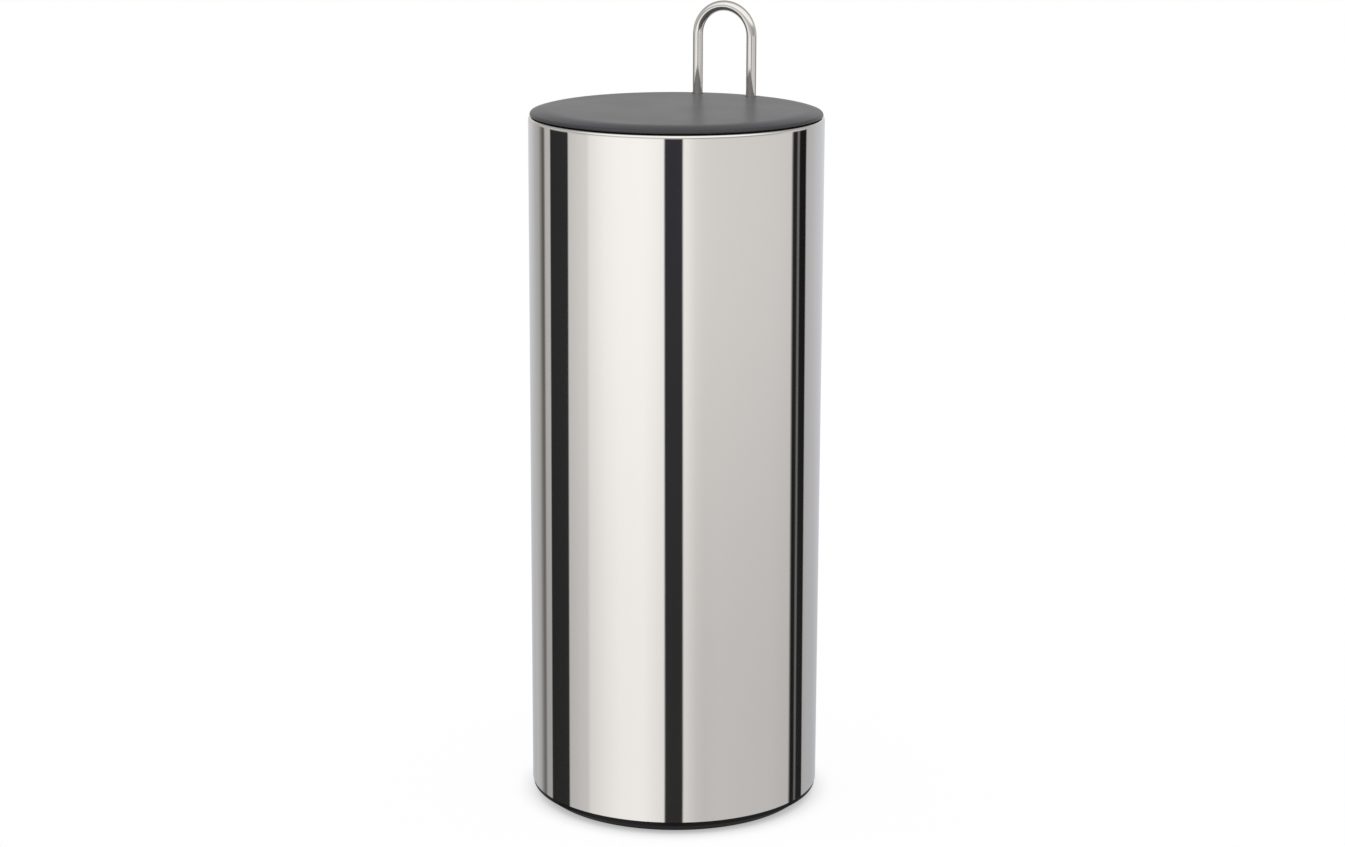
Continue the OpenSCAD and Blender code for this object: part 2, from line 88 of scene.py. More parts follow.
# Turns of four pieces that stand between the axes, in degrees
DIAGONALS = (45, 135, 225, 315)
# Thickness of the snap rings on the rod
CLIP_THICKNESS = 0.8 * MM

Point = tuple[float, float]
Corner = tuple[float, float, float]
Span = tuple[float, float]
Colour = tuple[float, float, float]
Mark = tuple[float, Colour]
Piece = bpy.types.Object
Shape = bmesh.types.BMesh
Material = bpy.types.Material
Node = bpy.types.Node
Socket = bpy.types.NodeSocket
Value = Socket | float | tuple[float, ...]


class Body(Enum):
    """The two rigid bodies of the holder."""

    CANISTER = "canister"
    CARRIER = "carrier"


class Slot(Enum):
    """The record's material slots that new pieces take their finish from."""

    STEEL = "polished_steel"
    ROD = "polished_rod"
    LID = "soft_touch_plastic"
    BLACK = "black_plastic"
    GREY = "grey_plastic"
    FOOT = "grey_rubber"
    RUBBER = "black_rubber"
    ZINC = "zinc_steel"
    PLATE = "plain_steel"


class Work(Enum):
    """What a shape does to the piece that it meets."""

    ADD = "UNION"
    CUT = "DIFFERENCE"


# Shaping helpers


def arc(centre: Point, radius: float, start: float, end: float, steps: int) -> list[Point]:
    """Points on an outline's arc, both ends included, by angles in degrees with 0 outwards and 90 up."""
    turns = [math.radians(start + (end - start) * i / steps) for i in range(steps + 1)]
    return [(centre[0] + radius * math.cos(t), centre[1] + radius * math.sin(t)) for t in turns]


def rounded(corners: list[Corner], steps: int = 5) -> list[Point]:
    """Rounds the corners of an outline.

    Args:
        corners: Corners as (radius from the axis, height, radius of the rounding, 0 for a sharp corner).
        steps: Number of stretches in each rounding.

    Returns:
        The outline's points.
    """
    points: list[Point] = []
    for index, (across, height, soft) in enumerate(corners):
        here = Vector((across, height))
        if not soft:
            points.append((across, height))
            continue
        back = (Vector(corners[index - 1][:2]) - here).normalized()
        ahead = (Vector(corners[(index + 1) % len(corners)][:2]) - here).normalized()
        half = back.angle(ahead) / 2
        centre = here + (back + ahead).normalized() * soft / math.sin(half)
        first, last = (here + side * soft / math.tan(half) - centre for side in (back, ahead))
        for step in range(steps + 1):
            points.append(tuple(centre + first.lerp(last, step / steps).normalized() * soft))
    return points


def revolved(outline: list[Point], steps: int = ROUND_STEPS) -> Shape:
    """Spins an outline round the Z axis.

    Args:
        outline: Corners as (radius, height). One that starts on the axis stays open, any other is closed.
        steps: Number of faces round the shape.

    Returns:
        The shape, its faces pointing outwards.
    """
    shape = bmesh.new()
    places = [p for i, p in enumerate(outline) if not i or math.dist(p, outline[i - 1]) > NEAREST]
    corners = [shape.verts.new((radius, 0, height)) for radius, height in places]
    pairs = list(zip(corners, corners[1:]))
    if outline[0][0]:
        pairs.append((corners[-1], corners[0]))
    rims = [shape.edges.new(pair) for pair in pairs]
    bmesh.ops.spin(shape, geom=corners + rims, cent=(0, 0, 0), axis=(0, 0, 1), dvec=(0, 0, 0),
                   angle=math.tau, steps=steps, use_merge=True, use_normal_flip=False, use_duplicate=False)
    bmesh.ops.remove_doubles(shape, verts=shape.verts, dist=NEAREST)
    bmesh.ops.recalc_face_normals(shape, faces=shape.faces)
    return shape


def drum(radius: float, low: float, high: float, soft: float = 0.0) -> Shape:
    """A small round post on the Z axis from one height to another, with its lower edge rounded."""
    return revolved(rounded([(0, low, 0), (radius, low, soft), (radius, high, 0), (0, high, 0)]), SMALL_STEPS)


def stepped(low: float, *stages: Point) -> Shape:
    """A small round pin on the Z axis whose radius changes in steps.

    Args:
        low: Height of its lower end.
        stages: Radius and upper end of each stage, from the lowest up.

    Returns:
        The pin.
    """
    outline = [(0, low)]
    for radius, high in stages:
        outline += [(radius, outline[-1][1]), (radius, high)]
    return revolved([*outline, (0, outline[-1][1])], SMALL_STEPS)


def hoop(outer: float, inner: float, low: float, high: float, soft: float, steps: int) -> Shape:
    """A ring round the Z axis from one height to another, with its two lower edges rounded."""
    corners = [(inner, low, soft), (outer, low, soft), (outer, high, 0), (inner, high, 0)]
    return revolved(rounded(corners), steps)


def eased(shape: Shape, edges: list[bmesh.types.BMEdge], soft: float, segments: int, clamped: bool) -> None:
    """Rounds edges of a shape by a radius, and keeps clear of the shortest edges where clamped."""
    bmesh.ops.bevel(shape, geom=edges, offset=soft, offset_type="OFFSET", segments=segments,
                    profile=ROUND_PROFILE, affect="EDGES", clamp_overlap=clamped, material=-1)


def bar(length: float, width: float, low: float, high: float, soft: float = 0.0) -> Shape:
    """A straight rib that starts on the Z axis and runs out along X.

    Args:
        length: Its length.
        width: Its thickness.
        low: Height of its lower face.
        high: Height of its upper face.
        soft: Rounding of its lower edges.

    Returns:
        The rib.
    """
    shape = bmesh.new()
    middle = (low + high) / 2
    place = Matrix.Translation((length / 2, 0, middle)) @ Matrix.Diagonal((length, width, high - low, 1))
    bmesh.ops.create_cube(shape, size=1, matrix=place)
    if soft:
        lower = [e for e in shape.edges if all(v.co.z < middle for v in e.verts)]
        eased(shape, lower, soft, segments=3, clamped=True)
    return shape


def moved(shape: Shape, x: float, y: float) -> Shape:
    """Moves a shape level with the floor and returns it."""
    bmesh.ops.translate(shape, vec=(x, y, 0), verts=shape.verts)
    return shape


def around(shape: Shape, turns: tuple[float, ...], radius: float) -> Shape:
    """Moves a shape out along X and copies it round the Z axis.

    Args:
        shape: The shape, on the Z axis.
        turns: Where it and its copies stand, in degrees from X.
        radius: How far out they stand.

    Returns:
        The shape with its copies.
    """
    moved(shape, radius, 0)
    one = [*shape.verts, *shape.edges, *shape.faces]
    copies = [one, *(bmesh.ops.duplicate(shape, geom=one)["geom"] for _ in turns[1:])]
    for copy, degrees in zip(copies, turns):
        bmesh.ops.rotate(shape, cent=(0, 0, 0), matrix=Matrix.Rotation(math.radians(degrees), 3, "Z"),
                         verts=[g for g in copy if isinstance(g, bmesh.types.BMVert)])
    return shape


def even_turns(count: int, first: float = 0.0) -> tuple[float, ...]:
    """Evenly spaced turns in degrees, from the first."""
    return tuple(first + 360 * index / count for index in range(count))


def combined(*shapes: Shape) -> Shape:
    """Puts separate closed shapes into one mesh.

    Args:
        shapes: The shapes, which are freed.

    Returns:
        The mesh that holds them all.
    """
    whole = bmesh.new()
    for shape in shapes:
        mesh = bpy.data.meshes.new("part")
        shape.to_mesh(mesh)
        shape.free()
        whole.from_mesh(mesh)
        bpy.data.meshes.remove(mesh)
    return whole


def finished(name: str, shape: Shape) -> Piece:
    """Turns a modelled shape into an object at the origin.

    Args:
        name: Name of the piece.
        shape: The modelled shape, which is freed.

    Returns:
        The new object, linked to the scene.
    """
    mesh = bpy.data.meshes.new(name)
    shape.to_mesh(mesh)
    shape.free()
    piece = bpy.data.objects.new(name, mesh)
    bpy.context.scene.collection.objects.link(piece)
    return piece


def worked(piece: Piece, tool: Shape, work: Work) -> None:
    """Adds a shape to a piece or cuts it away, and keeps the result as the piece's mesh.

    Args:
        piece: The piece.
        tool: Closed shapes that don't meet each other, freed afterwards.
        work: Whether they are added or cut away.
    """
    other = finished("tool", tool)
    change = piece.modifiers.new("work", "BOOLEAN")
    change.operation = work.value
    change.solver = "EXACT"
    change.object = other
    bpy.context.view_layer.update()
    shape = bmesh.new()
    shape.from_object(piece, bpy.context.evaluated_depsgraph_get())
    bmesh.ops.dissolve_degenerate(shape, dist=NEAREST, edges=shape.edges)
    shape.to_mesh(piece.data)
    shape.free()
    piece.modifiers.clear()
    bpy.data.objects.remove(other)


# Finishes


@dataclass(frozen=True)
class Wiring:
    """The nodes of a material or of the world, with short ways to add to them."""

    tree: bpy.types.NodeTree

    def fill(self, node: Node, inputs: dict[str | int, Value]) -> None:
        """Fills a node's inputs.

        Args:
            node: The node.
            inputs: A socket to link or a plain value for each input, by its name or number.
        """
        for key, value in inputs.items():
            slot = node.inputs[key]
            if isinstance(value, Socket):
                self.tree.links.new(value, slot)
            else:
                slot.default_value = (*value, 1) if slot.type == "RGBA" else value

    def add(self, kind: str, inputs: dict[str | int, Value] | None = None, **settings: str | int) -> Node:
        """Adds a node.

        Args:
            kind: Its type, without the words that all types start with.
            inputs: What goes into its inputs.
            settings: Its other settings.

        Returns:
            The node.
        """
        node = self.tree.nodes.new(f"ShaderNode{kind}")
        for name, value in settings.items():
            setattr(node, name, value)
        self.fill(node, inputs or {})
        return node

    def counted(self, operation: str, *values: Value) -> Socket:
        """Works out a number from others."""
        return self.add("Math", dict(enumerate(values)), operation=operation).outputs["Value"]

    def ranged(self, value: Socket, source: Span, target: Span = (0, 1), curve: str = "LINEAR") -> Socket:
        """Stretches a range of values over another one, evenly or by another curve."""
        ends = {"From Min": source[0], "From Max": source[1], "To Min": target[0], "To Max": target[1]}
        return self.add("MapRange", {"Value": value, **ends}, interpolation_type=curve).outputs["Result"]

    def mixed(self, share: Value, first: Value, second: Value, blend: str = "MIX") -> Socket:
        """Mixes a share of the second colour into the first."""
        inputs = {"Factor": share, "A": first, "B": second}
        return self.add("Mix", inputs, data_type="RGBA", blend_type=blend).outputs["Result"]

    def graded(self, place: Socket, marks: list[Mark]) -> Socket:
        """Turns a bearing into a colour.

        Args:
            place: The bearing, from 0 straight behind the holder, round its left and front, to 1.
            marks: Colours at their bearings in degrees.

        Returns:
            The colour.
        """
        ramp = self.add("ValToRGB", {"Fac": place})
        stops = ramp.color_ramp.elements
        stops.remove(stops[-1])
        for index, (degrees, colour) in enumerate(sorted(marks)):
            share = (degrees + 180) / 360
            stop = stops.new(share) if index else stops[0]
            stop.position = share
            stop.color = (*colour, 1)
        return ramp.outputs["Color"]


@dataclass(frozen=True)
class Noise:
    """Noise fixed to its piece: marks to the metre along X, Y and Z, and levels of finer marks."""

    scale: tuple[float, float, float]
    detail: float

    # Range that most of a noise's values lie in, and how much longer than wide a polishing line is
    reach: ClassVar[Span] = (0.3, 0.7)
    stretch: ClassVar[float] = 60

    @classmethod
    def even(cls, per_metre: float, detail: float) -> "Noise":
        """Noise with marks as long as they are wide."""
        return cls((per_metre,) * 3, detail)

    @classmethod
    def lines(cls, per_metre: float) -> "Noise":
        """Noise with long fine lines along Z."""
        return cls((per_metre, per_metre, per_metre / cls.stretch), 4)

    def drawn(self, wiring: Wiring) -> Socket:
        """Draws the noise on the piece.

        Args:
            wiring: The material's nodes.

        Returns:
            The noise.
        """
        place = wiring.add("TexCoord").outputs["Object"]
        marks = wiring.add("Mapping", {"Vector": place, "Scale": self.scale}).outputs["Vector"]
        return wiring.add("TexNoise", {"Vector": marks, "Scale": 1.0, "Detail": self.detail}).outputs["Fac"]


@dataclass(frozen=True)
class Finish:
    """A procedural surface fixed to its piece, with a fine relief and an uneven tint and shine.

    The relief has a height and a share of it that shows. The mottle darkens the colour down to a share of
    it, and varies the roughness between two shares of it where they differ.
    """

    name: str
    colour: Colour
    roughness: float
    relief: Noise
    height: float
    mottle: Noise
    darkest: float
    shine: Span = (1.0, 1.0)
    relief_share: float = 1.0
    metallic: float = 0.0
    gloss: float = 0.5

    def build(self) -> Material:
        """Makes the surface.

        Returns:
            Its material.
        """
        material = bpy.data.materials.new(self.name)
        material.use_nodes = True
        wiring = Wiring(material.node_tree)
        relief = wiring.add("Bump", {"Height": self.relief.drawn(wiring), "Distance": self.height,
                                     "Strength": self.relief_share})
        mottle = self.mottle.drawn(wiring)
        dark = tuple(share * self.darkest for share in self.colour)
        low, high = (self.roughness * share for share in self.shine)
        wiring.fill(material.node_tree.nodes["Principled BSDF"], {
            "Base Color": wiring.mixed(wiring.ranged(mottle, Noise.reach), dark, self.colour),
            "Metallic": self.metallic,
            "Roughness": wiring.ranged(mottle, Noise.reach, (low, high)) if low < high else low,
            "Specular IOR Level": self.gloss,
            "Normal": relief.outputs["Normal"],
        })
        return material


@dataclass(frozen=True)
class PolishedMetal(Finish):
    """Bright metal with faint polishing lines along Z and an uneven shine."""

    relief: Noise = Noise.lines(2500)
    height: float = 0.0004 * MM
    mottle: Noise = Noise((14, 14, 9), 2)
    darkest: float = 0.985
    shine: Span = (0.8, 1.25)
    metallic: float = 1.0


@dataclass(frozen=True)
class PlatedMetal(Finish):
    """Dull plated metal with a crystalline mottle."""

    relief: Noise = Noise.even(900, 5)
    height: float = 0.003 * MM
    mottle: Noise = Noise.even(900, 5)
    darkest: float = 0.82
    shine: Span = (0.75, 1.25)
    metallic: float = 1.0


@dataclass(frozen=True)
class MouldedPlastic(Finish):
    """Moulded plastic with the fine spark grain of its tool."""

    relief: Noise = Noise.even(2600, 2)
    height: float = 0.012 * MM
    mottle: Noise = Noise.even(30, 3)
    darkest: float = 0.94
    shine: Span = (0.94, 1.06)
    relief_share: float = 0.6


@dataclass(frozen=True)
class Rubber(Finish):
    """Matte rubber with a powdery bloom."""

    relief: Noise = Noise.even(400, 5)
    height: float = 0.01 * MM
    mottle: Noise = Noise.even(400, 5)
    darkest: float = 0.75
    relief_share: float = 0.5
    gloss: float = 0.3


DULL_STEEL = PolishedMetal("dull_steel", (0.66, 0.65, 0.63), 0.34, Noise.lines(900), 0.002 * MM)
FINISHES = {
    Slot.STEEL: PolishedMetal("polished_steel", (0.86, 0.83, 0.785), 0.04),
    Slot.ROD: PolishedMetal("polished_wire", (0.82, 0.79, 0.75), 0.08, Noise.lines(4000), 0.0003 * MM),
    Slot.LID: MouldedPlastic("soft_touch_lid", (0.0545, 0.0535, 0.057), 0.34, Noise.even(3200, 2),
                             0.008 * MM),
    Slot.BLACK: MouldedPlastic("black_moulding", (0.004, 0.004, 0.0043), 0.36, gloss=0.2),
    Slot.GREY: MouldedPlastic("grey_moulding", (0.075, 0.076, 0.08), 0.5),
    Slot.FOOT: Rubber("grey_rubber", (0.06, 0.06, 0.06), 0.8),
    Slot.RUBBER: Rubber("black_rubber", (0.018, 0.018, 0.018), 0.7),
    Slot.ZINC: PlatedMetal("zinc_plate", (0.62, 0.63, 0.65), 0.34),
    Slot.PLATE: PlatedMetal("punched_plate", (0.46, 0.46, 0.47), 0.42),
}


# Sub-assemblies


@dataclass(frozen=True)
class Fitting:
    """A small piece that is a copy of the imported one, with the rounding that its edges get."""

    node: str
    name: str
    slot: Slot
    soft: float
    clamped: bool = True

    def shape(self) -> Shape:
        """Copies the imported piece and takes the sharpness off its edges.

        Returns:
            The shape.
        """
        shape = bmesh.new()
        shape.from_mesh(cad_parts[self.node].data)
        bmesh.ops.remove_doubles(shape, verts=shape.verts, dist=NEAREST)
        bmesh.ops.dissolve_limit(shape, angle_limit=math.radians(FLAT_ANGLE), use_dissolve_boundaries=False,
                                 verts=shape.verts, edges=shape.edges)
        least = math.radians(EDGE_ANGLE)
        sharp = [e for e in shape.edges if len(e.link_faces) == 2 and e.calc_face_angle() > least]
        eased(shape, sharp, self.soft, segments=2, clamped=self.clamped)
        bmesh.ops.dissolve_degenerate(shape, dist=NEAREST, edges=shape.edges)
        return shape


@dataclass
class Assembly:
    """Pieces that ride on one body, dressed in the holder's finishes."""

    materials: dict[Slot, Material]

    body: ClassVar[Body]
    fittings: ClassVar[tuple[Fitting, ...]] = ()

    def place(self, piece: Piece, slot: Slot, *nodes: str) -> None:
        """Shades and dresses a new piece and hands it to the body.

        Args:
            piece: The new piece.
            slot: The record's slot that it takes its finish from.
            nodes: The model's nodes that it stands for.
        """
        mesh = piece.data
        mesh.materials.clear()
        mesh.materials.append(self.materials[slot])
        mesh.polygons.foreach_set("use_smooth", [True] * len(mesh.polygons))
        mesh.set_sharp_from_angle(angle=math.radians(SHARP_ANGLE))
        weights = piece.modifiers.new("even_normals", "WEIGHTED_NORMAL")
        weights.keep_sharp = True
        weights.weight = FACE_WEIGHT
        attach(piece, self.body.value)
        if nodes:
            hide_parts(*nodes)
        log.info("%s rides on %s", piece.name, self.body.value)

    def model(self) -> None:
        """Models the larger pieces of the sub-assembly."""
        raise NotImplementedError

    def build(self) -> None:
        """Models the larger pieces and dresses the fittings."""
        self.model()
        for fitting in self.fittings:
            self.place(finished(fitting.name, fitting.shape()), fitting.slot, fitting.node)


def rod_radius() -> float:
    """Radius of the rod, from the frame."""
    low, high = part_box("handle_rod")
    return (high.y - low.y) / 2


def leg_place() -> Point:
    """Place of the middle of the rod's right leg, from the frame."""
    low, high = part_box("handle_rod")
    return high.x - rod_radius(), (low.y + high.y) / 2


def at_legs(shape: Shape) -> Shape:
    """Stands a shape, which is freed, at each leg of the rod."""
    leg, back = leg_place()
    return combined(moved(shape.copy(), -leg, back), moved(shape, leg, back))


@dataclass
class SteelTube(Assembly):
    """Polished tube: cut edge at the bottom, straight wall, rim curled inwards."""

    wall: float = 0.8 * MM
    curl_radius: float = 1.5 * MM
    curl_steps: int = 24
    edge_break: float = 0.1 * MM
    guard: float = 0.6 * MM
    weld_width: float = 1.4 * MM
    weld_height: float = 0.15 * MM

    body = Body.CANISTER

    def __post_init__(self) -> None:
        """Reads the tube's size from the frame."""
        low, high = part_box("outer_tube")
        self.radius, self.bottom = high.x, low.z
        self.inner = self.radius - self.wall
        self.curl = (self.radius - self.curl_radius, high.z - self.curl_radius)

    def outline(self) -> list[Point]:
        """Draws the tube's section, from its cut edge up, round the rim and down inside.

        Returns:
            The section's points.
        """
        edge = self.edge_break
        return [
            (self.radius - edge, self.bottom),
            (self.radius, self.bottom + edge),
            (self.radius, self.bottom + self.guard),
            (self.radius, self.curl[1] - self.guard),
            *arc(self.curl, self.curl_radius, 0, 270, self.curl_steps),
            *arc(self.curl, self.curl_radius - self.wall, 270, 0, self.curl_steps),
            (self.inner, self.curl[1] - self.guard),
            (self.inner, self.bottom + self.guard),
            (self.inner, self.bottom + edge),
            (self.inner + edge, self.bottom),
        ]

    def weld(self) -> Shape:
        """Lays the low bead of the tube's long weld, unpolished inside at the back.

        Returns:
            The bead.
        """
        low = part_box("base_moulding")[1].z + self.guard
        high = self.curl[1] - self.curl_radius - self.guard
        shape = drum(self.weld_width / 2, low, high)
        bmesh.ops.scale(shape, vec=(1, 2 * self.weld_height / self.weld_width, 1), verts=shape.verts)
        return moved(shape, 0, self.inner)

    def dull_inside(self, tube: Piece) -> None:
        """Leaves the inside of the wall as the sheet comes from the mill, up to the curl.

        Args:
            tube: The tube, already dressed.
        """
        tube.data.materials.append(DULL_STEEL.build())
        for face in tube.data.polygons:
            off = abs(face.center.xy.length - self.inner)
            if off < self.wall / 2 and face.center.z < self.curl[1]:
                face.material_index = 1

    def model(self) -> None:
        """Models the tube and its weld."""
        tube = finished("steel_tube", revolved(self.outline()))
        self.place(tube, Slot.STEEL, "outer_tube")
        self.dull_inside(tube)
        self.place(finished("tube_weld", self.weld()), Slot.PLATE)


@dataclass
class Base(Assembly):
    """Moulding pressed into the tube from below, with its weight, cover, screws and foot ring."""

    foot_radius: float = 64 * MM
    rail_width: float = 5 * MM
    band_height: float = 2 * MM
    wall: float = 1.6 * MM
    floor_thickness: float = 2.4 * MM
    spigot_radius: float = 68.85 * MM
    spigot_wall: float = 1.5 * MM
    spigot_chamfer: float = 0.5 * MM
    crush_ribs: int = 24
    crush_reach: float = 0.3 * MM
    crush_width: float = 0.8 * MM
    groove_play: float = 0.05 * MM
    rib_level: float = 1.2 * MM
    rib_count: int = 12
    rib_bite: float = 1 * MM
    hub_radius: float = 9 * MM
    ring_radius: float = 30 * MM
    screw_circle: float = 46 * MM
    screw_count: int = 4
    boss_radius: float = 5.5 * MM
    head_bore: float = 3.9 * MM
    shank_bore: float = 2.1 * MM
    soft: float = 0.35 * MM

    body = Body.CANISTER
    fittings = (
        Fitting("base_screws", "base_bolts", Slot.ZINC, soft=0.08 * MM),
        Fitting("base_weight", "weight_disc", Slot.PLATE, soft=0.15 * MM),
        Fitting("weight_cover", "weight_cap", Slot.GREY, soft=0.2 * MM),
    )

    def __post_init__(self) -> None:
        """Reads the base's levels from the frame."""
        self.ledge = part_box("outer_tube")[0].z
        self.foot, self.top = (corner.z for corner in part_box("base_moulding"))
        self.under = self.ledge - self.wall
        self.sunk = self.under + self.wall / 2
        self.rail = self.foot_radius - self.rail_width
        self.rail_middle = self.foot_radius - self.rail_width / 2
        self.screw_turns = even_turns(self.screw_count, 180 / self.rib_count)

    def outline(self) -> list[Point]:
        """Draws the section: rail with the foot ring's groove, taper, band, ledge, spigot and floor.

        Returns:
            The section's points.
        """
        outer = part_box("base_moulding")[1].x
        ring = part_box("foot_ring")[1]
        groove_out = ring.x + self.groove_play
        groove_in = 2 * self.rail_middle - groove_out
        spigot, inner = self.spigot_radius, self.spigot_radius - self.spigot_wall
        chamfer, floor = self.spigot_chamfer, self.under + self.floor_thickness
        soft, fine = self.soft, self.soft / 3
        return rounded([
            (0, self.under, 0), (self.rail, self.under, soft), (self.rail, self.foot, soft),
            (groove_in, self.foot, fine), (groove_in, ring.z, 0), (groove_out, ring.z, 0),
            (groove_out, self.foot, fine), (self.foot_radius, self.foot, soft),
            (outer, self.ledge - self.band_height, 2 * soft), (outer, self.ledge, fine),
            (spigot, self.ledge, 0), (spigot, self.top - chamfer, 0), (spigot - chamfer, self.top, 0),
            (inner, self.top, fine), (inner, floor, soft), (0, floor, 0),
        ])

    def ribs(self) -> Shape:
        """Makes the ribs under the floor and the crush ribs round the spigot.

        Returns:
            The ribs.
        """
        reach = self.rail - self.hub_radius + self.rib_bite
        spoke = bar(reach, self.wall, self.rib_level, self.sunk, self.soft)
        root = self.spigot_wall / 2
        crush = bar(root + self.crush_reach, self.crush_width, self.ledge - self.band_height / 2,
                    self.top - 2 * self.spigot_chamfer)
        between = even_turns(self.crush_ribs, 180 / self.crush_ribs)
        return combined(around(spoke, even_turns(self.rib_count), self.hub_radius),
                        around(crush, between, self.spigot_radius - root))

    def bosses(self) -> Shape:
        """Makes the hub, the stiffening ring and the screw bosses under the floor.

        Returns:
            The rings and bosses.
        """
        rings = [hoop(inner + self.wall, inner, self.rib_level, self.sunk, self.soft, RING_STEPS)
                 for inner in (self.hub_radius, self.ring_radius)]
        post = drum(self.boss_radius, self.rib_level, self.sunk, self.soft)
        return combined(*rings, around(post, self.screw_turns, self.screw_circle))

    def screw_bores(self) -> Shape:
        """Makes the cutters of the screws: wide below for the head, narrow above for the shank.

        Returns:
            The cutters.
        """
        clear = self.floor_thickness + self.wall
        bore = stepped(-clear, (self.head_bore, self.under), (self.shank_bore, self.under + clear))
        return around(bore, self.screw_turns, self.screw_circle)

    def foot_band(self) -> Shape:
        """Makes the soft ring that the holder stands on, its lower edges round."""
        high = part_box("foot_ring")[1]
        return hoop(high.x, 2 * self.rail_middle - high.x, 0, high.z, 2 * self.soft, ROUND_STEPS)

    def model(self) -> None:
        """Models the base and its foot ring."""
        shell = finished("base_shell", revolved(self.outline()))
        worked(shell, self.ribs(), Work.ADD)
        worked(shell, self.bosses(), Work.ADD)
        worked(shell, self.screw_bores(), Work.CUT)
        self.place(shell, Slot.BLACK, "base_moulding")
        self.place(finished("foot_band", self.foot_band()), Slot.FOOT, "foot_ring")


@dataclass
class Tray(Assembly):
    """Ribbed and vented tray under the rolls, with its soft band and feet."""

    wall: float = 2 * MM
    depth: float = 5 * MM
    floor_thickness: float = 2 * MM
    lip_height: float = 4 * MM
    band_bite: float = 0.8 * MM
    band_play: float = 0.05 * MM
    band_steps: int = 10
    rib_count: int = 12
    rib_width: float = 1.6 * MM
    rib_rise: float = 1 * MM
    rib_bite: float = 0.5 * MM
    hub_radius: float = 12 * MM
    ring_radius: float = 36.8 * MM
    vent_circle: float = 48.3 * MM
    vent_width: float = 5 * MM
    vent_length: float = 18 * MM
    vent_turns: tuple[float, ...] = (15, 165, 195, 255, 285, 345)
    pad_radius: float = 4.6 * MM
    foot_boss: float = 3.6 * MM
    foot_bore: float = 2.05 * MM
    foot_bore_depth: float = 3.05 * MM
    socket_radius: float = 5.55 * MM
    socket_bore: float = 2.55 * MM
    thread_bore: float = 2.1 * MM
    soft: float = 0.3 * MM

    body = Body.CARRIER
    fittings = (Fitting("tray_feet", "tray_pads", Slot.RUBBER, soft=0.15 * MM),)

    def __post_init__(self) -> None:
        """Reads the tray's levels from the frame."""
        low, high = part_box("tray")
        self.radius, self.low, self.socket_top = high.x, low.z, high.z
        self.inner = self.radius - self.wall
        self.floor = self.low + self.depth
        self.top = self.floor + self.floor_thickness
        self.sunk = self.floor + self.floor_thickness / 2
        self.rib_low = self.low + self.rib_rise
        self.foot_circle = (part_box("tray_feet")[1].x - self.pad_radius) * math.sqrt(2)

    def outline(self) -> list[Point]:
        """Draws the section: floor, wall below it with the band's groove, lip above it.

        Returns:
            The section's points.
        """
        radius, inner, lip = self.radius, self.inner, self.top + self.lip_height
        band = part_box("tray_edge_ring")
        groove = radius - self.band_bite - self.band_play
        low, high = band[0].z - self.band_play, band[1].z + self.band_play
        soft, full = self.soft, self.wall * FULL_ROUND
        return rounded([
            (0, self.floor, 0), (inner, self.floor, soft), (inner, self.low, soft), (radius, self.low, soft),
            (radius, low, 0), (groove, low, 0), (groove, high, 0), (radius, high, 0),
            (radius, lip, full), (inner, lip, full), (inner, self.top, soft), (0, self.top, 0),
        ])

    def ribs(self) -> Shape:
        """Makes the ribs under the floor.

        Returns:
            The ribs.
        """
        reach = self.inner + self.rib_bite - self.hub_radius
        spoke = bar(reach, self.rib_width, self.rib_low, self.sunk, self.soft)
        return around(spoke, even_turns(self.rib_count), self.hub_radius)

    def bosses(self) -> Shape:
        """Makes the rings that cross the ribs and the bosses of the feet.

        Returns:
            The rings and bosses.
        """
        rings = [hoop(inner + self.rib_width, inner, self.rib_low, self.sunk, self.soft, RING_STEPS)
                 for inner in (self.hub_radius, self.ring_radius)]
        post = drum(self.foot_boss, self.low, self.sunk, self.soft)
        return combined(*rings, around(post, DIAGONALS, self.foot_circle))

    def vent(self) -> Shape:
        """Makes the cutter of a slot with round ends along X.

        Returns:
            The cutter.
        """
        clear = 2 * self.floor_thickness
        shape = drum(self.vent_width / 2, self.floor - clear, self.top + clear)
        bmesh.ops.rotate(shape, cent=(0, 0, 0), matrix=Matrix.Rotation(math.pi / SMALL_STEPS, 3, "Z"),
                         verts=shape.verts)
        stretch = (self.vent_length - self.vent_width) / 2
        for side in (-1, 1):
            half = [v for v in shape.verts if v.co.x * side > NEAREST]
            bmesh.ops.translate(shape, vec=(side * stretch, 0, 0), verts=half)
        return shape

    def holes(self) -> Shape:
        """Makes the cutters of the vents, the rod's sockets and the feet's stems.

        Returns:
            The cutters.
        """
        clear = self.floor_thickness
        socket = stepped(self.floor - clear, (self.thread_bore, self.top),
                         (self.socket_bore, self.socket_top + clear))
        stem = drum(self.foot_bore, self.low - clear, self.low + self.foot_bore_depth)
        return combined(at_legs(socket), around(stem, DIAGONALS, self.foot_circle),
                        around(self.vent(), self.vent_turns, self.vent_circle))

    def band(self) -> Shape:
        """Makes the soft band in the tray's groove, round outside.

        Returns:
            The band.
        """
        low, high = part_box("tray_edge_ring")
        full = (high.z - low.z) * FULL_ROUND
        inner = self.radius - self.band_bite
        return revolved(rounded([(inner, low.z, 0), (high.x, low.z, full), (high.x, high.z, full),
                                 (inner, high.z, 0)], self.band_steps))

